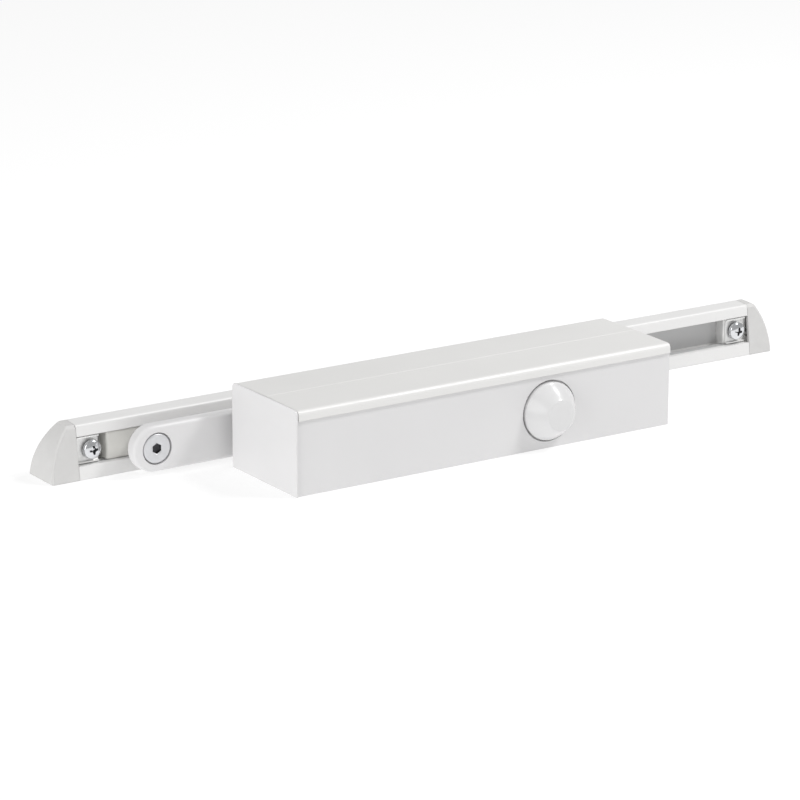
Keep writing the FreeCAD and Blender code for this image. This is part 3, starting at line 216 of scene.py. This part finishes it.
FINISHES = {
    # Painted and moulded outer parts.
    "white_paint": dict(colour=(0.735, 0.73, 0.733), roughness=0.38, tone=0.012, tone_size=0.05,
                        bump_size=0.0016, bump_height=0.000025),
    "white_cover": dict(colour=(0.785, 0.78, 0.768), roughness=0.36, tone=0.012, tone_size=0.06,
                        bump_size=0.0016, bump_height=0.000025, edge=0.0004),
    "rail_paint": dict(colour=(0.80, 0.796, 0.79), roughness=0.34, tone=0.012, tone_size=0.05,
                       bump_size=0.0012, bump_height=0.00002, edge=0.0005),
    "white_plastic": dict(colour=(0.72, 0.718, 0.72), roughness=0.24, tone=0.01, tone_size=0.01,
                          rough_spread=0.02, bump_size=0.005, bump_height=0.00002, coat=0.15),
    "cap_plastic": dict(colour=(0.635, 0.63, 0.622), roughness=0.55, tone=0.02, tone_size=0.006,
                        bump_size=0.00035, bump_height=0.00003, edge=0.0006),
    # Working parts in steel, bronze, brass and rubber, nearly all of them inside the casing.
    "machined_steel": dict(colour=(0.55, 0.55, 0.56), roughness=0.32, metallic=1.0, tone=0.08,
                           tone_size=0.004, rough_spread=0.08, bump_size=0.00025, bump_height=0.000012,
                           stretch=(8, 1, 1), edge=0.0003),
    "spring_steel": dict(colour=(0.30, 0.30, 0.32), roughness=0.30, metallic=1.0, tone=0.15,
                         tone_size=0.006, rough_spread=0.1, bump_size=0.0004, bump_height=0.00001),
    "bronze": dict(colour=(0.62, 0.42, 0.22), roughness=0.45, metallic=1.0, tone=0.12, tone_size=0.001,
                   rough_spread=0.08, bump_size=0.0003, bump_height=0.00003, edge=0.0003),
    "brass": dict(colour=(0.75, 0.58, 0.28), roughness=0.25, metallic=1.0, tone=0.06, tone_size=0.003,
                  bump_size=0.00025, bump_height=0.00001, stretch=(1, 1, 0.2), edge=0.0002),
    "rubber": dict(colour=(0.035, 0.035, 0.037), roughness=0.6, tone=0.2, tone_size=0.003,
                   bump_size=0.0003, bump_height=0.00002),
    # The arm's screws, the slider and the rail's fittings. The near-black recess finish is painted shade in a
    # screw's drive.
    "zinc_screw": dict(colour=(0.70, 0.705, 0.72), roughness=0.42, metallic=0.75, tone=0.04, tone_size=0.003,
                       rough_spread=0.06, bump_size=0.0003, bump_height=0.00001, edge=0.0003),
    "slider_plastic": dict(colour=(0.68, 0.672, 0.64), roughness=0.5, tone=0.03, tone_size=0.008,
                           bump_size=0.0005, bump_height=0.00003, edge=0.0005),
    "zinc_plate": dict(colour=(0.88, 0.88, 0.87), roughness=0.45, metallic=0.55, tone=0.03, tone_size=0.004,
                       rough_spread=0.06, bump_size=0.0006, bump_height=0.00001, stretch=LENGTHWISE),
    "chrome_screw": dict(colour=(0.72, 0.73, 0.75), roughness=0.16, metallic=1.0, tone=0.03, tone_size=0.002,
                         rough_spread=0.05, bump_size=0.0005, bump_height=0.000004),
    "painted_recess_shade": dict(colour=(0.045, 0.045, 0.05), roughness=0.35, metallic=0.5, tone=0.2, tone_size=0.001,
                         rough_spread=0.08, bump_size=0.0003, bump_height=0.00001),
    "dark_steel": dict(colour=(0.06, 0.06, 0.065), roughness=0.42, metallic=0.8, tone=0.2, tone_size=0.002,
                       rough_spread=0.08, bump_size=0.0003, bump_height=0.00001),
}

materials = {slot: make_finish(slot, **finish) for slot, finish in FINISHES.items()}

# Painted shade inside the rail's slot: the rail's colour turns grey there to stand in for the slot's shade.
# Its middle and half its size, in depth and in height.
SLOT_DEPTH = (0.0620, 0.0045)
SLOT_HEIGHT = (0.0149, 0.0079)
SLOT_SHADE_GREY = 0.56


def paint_slot_shade(material):
    """Paints shade: turns a finish grey where its own coordinates are inside the rail's slot."""
    tree = material.node_tree
    colour = tree.nodes["Principled BSDF"].inputs["Base Color"]
    unshaded = colour.links[0].from_socket
    place = tree.nodes.new("ShaderNodeTexCoord").outputs["Object"]
    axes = tree.nodes.new("ShaderNodeSeparateXYZ")
    tree.links.new(place, axes.inputs["Vector"])
    inside = tree.nodes.new("ShaderNodeMath")
    inside.operation = "MULTIPLY"
    for index, (axis, (middle, half)) in enumerate((("Y", SLOT_DEPTH), ("Z", SLOT_HEIGHT))):
        within = tree.nodes.new("ShaderNodeMath")
        within.operation = "COMPARE"
        within.inputs[1].default_value = middle
        within.inputs[2].default_value = half
        tree.links.new(axes.outputs[axis], within.inputs[0])
        tree.links.new(within.outputs[0], inside.inputs[index])
    shaded = tree.nodes.new("ShaderNodeMix")
    shaded.data_type = "RGBA"
    # The mix node has one set of sockets for each kind of value; these four are the colour ones.
    factor, first, second = (shaded.inputs[index] for index in (0, 6, 7))
    result = shaded.outputs[2]
    second.default_value = (SLOT_SHADE_GREY, SLOT_SHADE_GREY, SLOT_SHADE_GREY, 1)
    tree.links.new(inside.outputs[0], factor)
    tree.links.new(unshaded, first)
    tree.links.new(result, colour)


# The inside of the rail's slot gets painted shade.
paint_slot_shade(materials["rail_paint"])


def give_materials():
    """Gives each CAD node the finish that its record names."""
    for part in frame["record"]["subparts"]:
        slots = nodes[part["node"]].data.materials
        slots.clear()
        slots.append(materials[part["material_slot"]])


# ---------------------------------------------------------------- mesh helpers
AROUND = 64
# Edges sharper than this many degrees are rounded where a piece is cut.
SOFTEN_ABOVE = 35
SOFTEN_SEGMENTS = 2
# A recess's face counts as sloping when its normal rises by less than this.
SLOPING_BELOW = 0.8
# How far a cutter stands out of the face that it cuts.
CUTTER_PROUD = 0.5 * MM


def on_circle(radius, angle):
    """The point at an angle, in radians, on a circle about the origin."""
    return radius * math.cos(angle), radius * math.sin(angle)


def to_data(name, mesh):
    """Mesh data out of a working mesh, which goes."""
    data = bpy.data.meshes.new(name)
    mesh.to_mesh(data)
    mesh.free()
    return data


def to_object(name, mesh):
    """An object in the scene out of a working mesh, which goes."""
    thing = bpy.data.objects.new(name, to_data(name, mesh))
    bpy.context.scene.collection.objects.link(thing)
    return thing


def turned(section):
    """A closed mesh turned about +Z from (radius, height) points that run from the axis to the axis."""
    mesh = bmesh.new()
    angles = [math.tau * step / AROUND for step in range(AROUND)]
    rings = []
    for radius, height in section:
        if radius == 0:
            rings.append([mesh.verts.new((0, 0, height))])
        else:
            rings.append([mesh.verts.new((*on_circle(radius, angle), height)) for angle in angles])
    for inner, outer in zip(rings, rings[1:]):
        for step in range(AROUND):
            after = (step + 1) % AROUND
            corners = [inner[step % len(inner)], outer[step % len(outer)],
                       outer[after % len(outer)], inner[after % len(inner)]]
            mesh.faces.new(dict.fromkeys(corners))
    bmesh.ops.recalc_face_normals(mesh, faces=mesh.faces)
    return mesh


def rounded(centre, radius, start, end, steps=6):
    """Points on a round corner of a section, from one angle to another."""
    points = []
    for step in range(steps + 1):
        across, along = on_circle(radius, math.radians(start + (end - start) * step / steps))
        points.append((centre[0] + across, centre[1] + along))
    return points


def prism(outline, low, high, narrowing=1.0):
    """A closed mesh between two heights; its lower end is the outline scaled by narrowing."""
    mesh = bmesh.new()
    top = [mesh.verts.new((x, y, high)) for x, y in outline]
    foot = [mesh.verts.new((x * narrowing, y * narrowing, low)) for x, y in outline]
    mesh.faces.new(top)
    mesh.faces.new(foot[::-1])
    for step in range(len(outline)):
        after = (step + 1) % len(outline)
        mesh.faces.new((foot[step], foot[after], top[after], top[step]))
    bmesh.ops.recalc_face_normals(mesh, faces=mesh.faces)
    return mesh


def cut_away(body, cutter, edge):
    """The body's mesh less the cutter's, its sharp edges rounded by edge metres. Both objects go."""
    cut = body.modifiers.new("cut", "BOOLEAN")
    cut.operation = "DIFFERENCE"
    cut.solver = "EXACT"
    cut.object = cutter
    soften = body.modifiers.new("soften", "BEVEL")
    soften.width = edge
    soften.segments = SOFTEN_SEGMENTS
    soften.limit_method = "ANGLE"
    soften.angle_limit = math.radians(SOFTEN_ABOVE)
    bpy.context.view_layer.update()
    finished = bpy.data.meshes.new_from_object(body.evaluated_get(bpy.context.evaluated_depsgraph_get()))
    for used in (body, cutter):
        bpy.data.objects.remove(used)
    return finished


def piece(name, mesh, body, slot, *stands_for, smooth=40):
    """Puts a finished mesh in the scene, riding on a CAD body in place of CAD nodes.
    Faces marked as a recess keep the second material, the near-black painted shade of the recess."""
    thing = bpy.data.objects.new(name, mesh)
    bpy.context.scene.collection.objects.link(thing)
    mesh.shade_smooth()
    mesh.set_sharp_from_angle(angle=math.radians(smooth))
    marked = [face.material_index for face in mesh.polygons]
    mesh.materials.clear()
    mesh.materials.append(materials[slot])
    if any(marked):
        # The second material is painted shade: near-black in the recess.
        mesh.materials.append(materials["painted_recess_shade"])
        mesh.polygons.foreach_set("material_index", marked)
    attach(thing, body)
    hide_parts(*stands_for)
    return thing


def paint_recess_shade(mesh, reach, face_height):
    """Paints shade into a drive recess: marks the faces within reach of the axis, sloping or below the head's
    face, for the near-black second material.
    """
    for face in mesh.polygons:
        away = math.hypot(face.center.x, face.center.y)
        sunk = abs(face.normal.z) < SLOPING_BELOW or face.center.z < face_height
        face.material_index = int(away < reach and sunk and face.center.z > 0)
    return mesh


def joined(meshes, places):
    """One mesh out of several, each copied to its own place in the frame."""
    whole = bmesh.new()
    for mesh, place in zip(meshes, places):
        first = len(whole.verts)
        whole.from_mesh(mesh)
        whole.verts.ensure_lookup_table()
        bmesh.ops.transform(whole, matrix=place, verts=whole.verts[first:])
    return to_data("merged", whole)


def facing_front(x, y, z, spin=0):
    """The placement that turns a piece's +Z to -Y, with its origin at x, y, z."""
    upright = Matrix.Rotation(math.radians(90), 4, "X")
    return Matrix.Translation((x, y, z)) @ upright @ Matrix.Rotation(math.radians(spin), 4, "Z")


# ---------------------------------------------------------------- clamp screws
SCREW_RADIUS = 5.1 * MM
SCREW_SHANK = 2.4 * MM
SCREW_CORNER = 0.3 * MM
SCREW_CORNER_STEPS = 3
SCREW_DOME = 2.3 * MM
# The dome's rings, as shares of the head's radius, closer together towards its rim.
DOME_RINGS = (0, 0.2, 0.4, 0.55, 0.68, 0.79, 0.87, 0.93, 0.97)
DOME_FULLNESS = 0.97
CROSS_ARM = 3.1 * MM
CROSS_HALF_WIDTH = 0.62 * MM
CROSS_DEPTH = 2.0 * MM
CROSS_NARROWING = 0.42
CROSS_EDGE = 0.08 * MM
# The corner between two arms of the cross; it is not quite on the diagonal.
CROSS_WEB = (1.15 * MM, 0.8625 * MM)
# How far each screw is turned, left one first.
SCREW_SPINS = (6, -9)


def cross_outline():
    """A cross recess at the head's surface: four arms with slanted webs between them."""
    quarter = [(CROSS_ARM, -CROSS_HALF_WIDTH), (CROSS_ARM, CROSS_HALF_WIDTH), CROSS_WEB]
    corners = []
    for turn in range(4):
        rotation = Matrix.Rotation(math.radians(90 * turn), 2)
        corners += [tuple(rotation @ Vector(corner)) for corner in quarter]
    return corners


def dome_point(share, height):
    """A point of the dome's section, at a share of the head's radius."""
    drop = 1 - math.sqrt(1 - (share * DOME_FULLNESS) ** 2)
    return share * SCREW_RADIUS, height - SCREW_DOME * drop


def pan_head(height, shank_end):
    """A domed head from height 0 up with a cross recess, and its shank below."""
    corner = SCREW_RADIUS - SCREW_CORNER
    section = [(0, shank_end), (SCREW_SHANK, shank_end), (SCREW_SHANK, 0), (corner, 0)]
    section += rounded((corner, SCREW_CORNER), SCREW_CORNER, -90, 0, SCREW_CORNER_STEPS)
    section += [(SCREW_RADIUS, height - SCREW_DOME)]
    section += [dome_point(share, height) for share in reversed(DOME_RINGS)]
    head = to_object("head", turned(section))
    cross = prism(cross_outline(), height - CROSS_DEPTH, height + CUTTER_PROUD, CROSS_NARROWING)
    finished = cut_away(head, to_object("cross", cross), CROSS_EDGE)
    return paint_recess_shade(finished, CROSS_ARM, height - SCREW_DOME)


def screw_places():
    """Where the two clamp screws stand, as x and z: one head's radius in from the CAD node's ends."""
    low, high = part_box("clamp_screws")
    middle = (low.z + high.z) / 2
    return {"left": (low.x + SCREW_RADIUS, middle), "right": (high.x - SCREW_RADIUS, middle)}


def make_clamp_screws():
    """Two domed cross-head screws that clamp the rail, their heads seated on the washers."""
    low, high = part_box("clamp_screws")
    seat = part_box("clamp_washers")[0].y
    head = pan_head(seat - low.y, -(high.y - seat))
    places = [facing_front(x, seat, z, spin) for (x, z), spin in zip(screw_places().values(), SCREW_SPINS)]
    piece("pan_screws", joined([head, head], places), "guide_rail", "chrome_screw", "clamp_screws")


# ---------------------------------------------------------------- spring washers
WASHER_RADIUS = 4.6 * MM
WASHER_STEPS = 44
WASHER_GAP = 9
WASHER_RISE = 0.15 * MM
WASHER_PLAY = 0.05 * MM
# Where each washer's gap points, left one first.
WASHER_SPINS = (200, 20)


def split_ring(inner, outer, thickness, rise):
    """A split ring of rectangular section whose two ends stand a little apart."""
    mesh = bmesh.new()
    bands = []
    for step in range(WASHER_STEPS + 1):
        part = step / WASHER_STEPS
        angle = math.radians(WASHER_GAP / 2 + (360 - WASHER_GAP) * part)
        foot = rise * part
        section = ((inner, foot), (outer, foot), (outer, foot + thickness), (inner, foot + thickness))
        bands.append([mesh.verts.new((*on_circle(radius, angle), height)) for radius, height in section])
    for start, end in zip(bands, bands[1:]):
        for side in range(4):
            after = (side + 1) % 4
            mesh.faces.new((start[side], start[after], end[after], end[side]))
    mesh.faces.new(bands[0][::-1])
    mesh.faces.new(bands[-1])
    bmesh.ops.recalc_face_normals(mesh, faces=mesh.faces)
    return to_data("split_ring", mesh)


def make_clamp_washers():
    """A split spring washer under each clamp screw's head."""
    low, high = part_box("clamp_washers")
    thickness = high.y - low.y - WASHER_RISE
    ring = split_ring(SCREW_SHANK + WASHER_PLAY, WASHER_RADIUS, thickness, WASHER_RISE)
    places = [facing_front(x, high.y, z, spin) for (x, z), spin in zip(screw_places().values(), WASHER_SPINS)]
    piece("split_washers", joined([ring, ring], places), "guide_rail", "dark_steel", "clamp_washers")


# ---------------------------------------------------------------- pivot screw
PIVOT_HEAD = 2.4 * MM
PIVOT_THREAD = 2.48 * MM
PIVOT_FOOT_BEVEL = 0.2 * MM
PIVOT_RIM = 0.9 * MM
# The socket's width across its flats, then the radius of its chamfered mouth at the face and lower down.
SOCKET_ACROSS = 5.0 * MM
SOCKET_MOUTH = 0.66 * SOCKET_ACROSS
SOCKET_THROAT = 0.56 * SOCKET_ACROSS
SOCKET_CHAMFER = 0.35 * MM
SOCKET_FLOOR = 0.2 * PIVOT_HEAD
SOCKET_EDGE = 0.06 * MM
# The painted shade of the socket reaches this far from the axis, and starts this far below the face.
SOCKET_SHADE_REACH = 0.575 * SOCKET_ACROSS
SOCKET_SHADE_DEPTH = 0.4 * MM


def hexagon(across_flats):
    """Corners of a hexagon with a corner straight up."""
    radius = across_flats / math.sqrt(3)
    return [on_circle(radius, math.radians(30 + 60 * step)) for step in range(6)]


def make_pivot_screw():
    """A flat round head with a rounded rim and a hexagon socket whose mouth is chamfered."""
    low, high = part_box("pivot_screw")
    radius = (high.x - low.x) / 2
    end = PIVOT_HEAD - (high.y - low.y)
    section = [(0, end), (PIVOT_THREAD, end), (PIVOT_THREAD, 0), (radius - PIVOT_FOOT_BEVEL, 0),
               (radius, PIVOT_FOOT_BEVEL), (radius, PIVOT_HEAD - PIVOT_RIM)]
    section += rounded((radius - PIVOT_RIM, PIVOT_HEAD - PIVOT_RIM), PIVOT_RIM, 0, 90)
    section += [(SOCKET_MOUTH, PIVOT_HEAD), (SOCKET_THROAT, PIVOT_HEAD - SOCKET_CHAMFER)]
    section += [(0, PIVOT_HEAD - SOCKET_CHAMFER)]
    blank = to_object("head", turned(section))
    socket = prism(hexagon(SOCKET_ACROSS), SOCKET_FLOOR, PIVOT_HEAD + CUTTER_PROUD)
    finished = cut_away(blank, to_object("socket", socket), SOCKET_EDGE)
    mesh = paint_recess_shade(finished, SOCKET_SHADE_REACH, PIVOT_HEAD - SOCKET_SHADE_DEPTH)
    place = facing_front((low.x + high.x) / 2, low.y + PIVOT_HEAD, (low.z + high.z) / 2)
    piece("socket_screw", joined([mesh], [place]), "swing_arm", "zinc_screw", "pivot_screw")


# ---------------------------------------------------------------- spindle cap
CAP_WALL = 1.8 * MM
# The rim stands straight for CAP_RIM in its recess and CAP_PROUD above it, then rolls inwards.
CAP_RIM = 1.85 * MM
CAP_PROUD = 0.9 * MM
CAP_ROLL = 1.2 * MM
CAP_ROLL_END = 55
CAP_ROLL_STEPS = 5
CAP_FOOT_BEVEL = 0.2 * MM
CAP_BULGE = 0.35 * MM
CAP_FLANK_STEPS = 14
CAP_TOP_RADIUS = 8.2 * MM
CAP_INNER_TOP_RADIUS = 7.2 * MM
# The rounded rim of the flat end, as points outwards of its radius and above its face.
CAP_TOP_RIM = ((0.48 * MM, -0.40 * MM), (0.15 * MM, -0.15 * MM), (-0.40 * MM, 0))


def bulged(start, end, bulge, steps):
    """Points from start to end that swell outwards by bulge half-way."""
    across, along = end[0] - start[0], end[1] - start[1]
    length = math.hypot(across, along)
    points = []
    for step in range(steps + 1):
        part = step / steps
        swell = bulge * 4 * part * (1 - part)
        points.append((start[0] + across * part + along / length * swell,
                       start[1] + along * part - across / length * swell))
    return points


def make_spindle_cap():
    """The moulded cone over the spindle: hollow, with a rim in the recess and a rounded flat end."""
    low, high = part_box("spindle_cap")
    base = (high.x - low.x) / 2
    height = high.y - low.y
    flank_end, *rim = [(CAP_TOP_RADIUS + outwards, height + above) for outwards, above in CAP_TOP_RIM]
    section = [(0, height - CAP_WALL), (CAP_INNER_TOP_RADIUS, height - CAP_WALL), (base - CAP_WALL, CAP_RIM),
               (base - CAP_WALL, 0), (base - CAP_FOOT_BEVEL, 0), (base, CAP_FOOT_BEVEL)]
    section += rounded((base - CAP_ROLL, CAP_RIM + CAP_PROUD), CAP_ROLL, 0, CAP_ROLL_END, CAP_ROLL_STEPS)
    section += bulged(section[-1], flank_end, CAP_BULGE, CAP_FLANK_STEPS)[1:]
    section += rim
    section += [(CAP_TOP_RADIUS / 2, height), (0, height)]
    cone = to_data("cone", turned(section))
    place = facing_front((low.x + high.x) / 2, high.y, (low.z + high.z) / 2)
    piece("moulded_cap", joined([cone], [place]), "end_cover", "white_plastic", "spindle_cap", smooth=50)


# ---------------------------------------------------------------- main spring
SAME_POINT = 0.001 * MM


def half_of_spring(middle, keep_right):
    """The part of the CAD spring on one side of a plane across its axis, closed where it was cut."""
    mesh = bmesh.new()
    mesh.from_mesh(nodes["main_spring"].data)
    bmesh.ops.remove_doubles(mesh, verts=mesh.verts, dist=SAME_POINT)
    everything = mesh.verts[:] + mesh.edges[:] + mesh.faces[:]
    cut = bmesh.ops.bisect_plane(mesh, geom=everything, plane_co=(middle, 0, 0), plane_no=(1, 0, 0),
                                 clear_inner=keep_right, clear_outer=not keep_right)
    rim = [edge for edge in cut["geom_cut"] if isinstance(edge, bmesh.types.BMEdge)]
    bmesh.ops.holes_fill(mesh, edges=rim)
    return to_data("half_spring", mesh)


def make_main_spring():
    """Two halves of the CAD spring, one riding on the casing and one on the piston set."""
    low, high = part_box("main_spring")
    middle = (low.x + high.x) / 2
    travel = {joint["name"]: joint["range_m"][1] for joint in frame["record"]["behaviour"]["joints"]
              if "range_m" in joint}
    for name, body, joint, keep_right, squeeze, anchor in (
        ("spring_plate_half", "casing", "preload_travel", False, travel["preload_travel"], middle),
        ("spring_piston_half", "piston_set", "arm_swing", True, travel["piston_travel"], high.x),
    ):
        mesh = half_of_spring(middle, keep_right)
        thing = piece(name, mesh, body, "spring_steel", "main_spring", smooth=60)
        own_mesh(thing)


# ---------------------------------------------------------------- clamp plates
PLATE_THICKNESS = 0.9 * MM
PLATE_BEND = 1.3 * MM
PLATE_EDGE = 0.15 * MM
PLATE_HOLE_PLAY = 0.2 * MM
PLATE_DRILL = 20 * MM


def folded_section(low, high):
    """The plate's section in depth and height: a web with both edges turned forwards on round bends."""
    inner_bend = PLATE_BEND - PLATE_THICKNESS
    lower = (high.y - PLATE_BEND, low.z + PLATE_BEND)
    upper = (high.y - PLATE_BEND, high.z - PLATE_BEND)
    points = [(low.y, low.z + PLATE_THICKNESS), (low.y, low.z)]
    points += rounded(lower, PLATE_BEND, -90, 0)
    points += rounded(upper, PLATE_BEND, 0, 90)
    points += [(low.y, high.z), (low.y, high.z - PLATE_THICKNESS)]
    points += rounded(upper, inner_bend, 90, 0)
    points += rounded(lower, inner_bend, 0, -90)
    return points


def folded_blank(low, high):
    """The folded plate before its hole is drilled, from end to end of its CAD box."""
    section = folded_section(low, high)
    mesh = bmesh.new()
    ends = [[mesh.verts.new((x, y, z)) for y, z in section] for x in (low.x, high.x)]
    mesh.faces.new(ends[0])
    mesh.faces.new(ends[1][::-1])
    for step in range(len(section)):
        after = (step + 1) % len(section)
        mesh.faces.new((ends[0][step], ends[0][after], ends[1][after], ends[1][step]))
    bmesh.ops.recalc_face_normals(mesh, faces=mesh.faces)
    return mesh


def drill(x, y, z):
    """A round bar along Y that cuts the hole for a clamp screw."""
    bar = bmesh.new()
    radius = SCREW_SHANK + PLATE_HOLE_PLAY
    bmesh.ops.create_cone(bar, cap_ends=True, segments=AROUND, radius1=radius, radius2=radius,
                          depth=PLATE_DRILL)
    bmesh.ops.transform(bar, matrix=facing_front(x, y, z), verts=bar.verts)
    return bar


def make_clamp_plate(side):
    """The folded plate under one clamp screw."""
    low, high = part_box(f"{side}_clamp_plate")
    x, z = screw_places()[side]
    plate = to_object("plate", folded_blank(low, high))
    hole = to_object("hole", drill(x, high.y, z))
    finished = cut_away(plate, hole, PLATE_EDGE)
    piece(f"{side}_folded_plate", finished, "guide_rail", "zinc_plate", f"{side}_clamp_plate", smooth=30)


# ---------------------------------------------------------------- the scene
bpy.context.scene.view_settings.view_transform = "Standard"
add_camera()
add_floor()
add_world()
for light_name, (light_place, light_size, light_power) in LIGHTS.items():
    add_light(light_name, light_place, light_size, light_power)
give_materials()
make_clamp_plate("left")
make_clamp_plate("right")
make_clamp_screws()
make_clamp_washers()
make_pivot_screw()
make_spindle_cap()
make_main_spring()
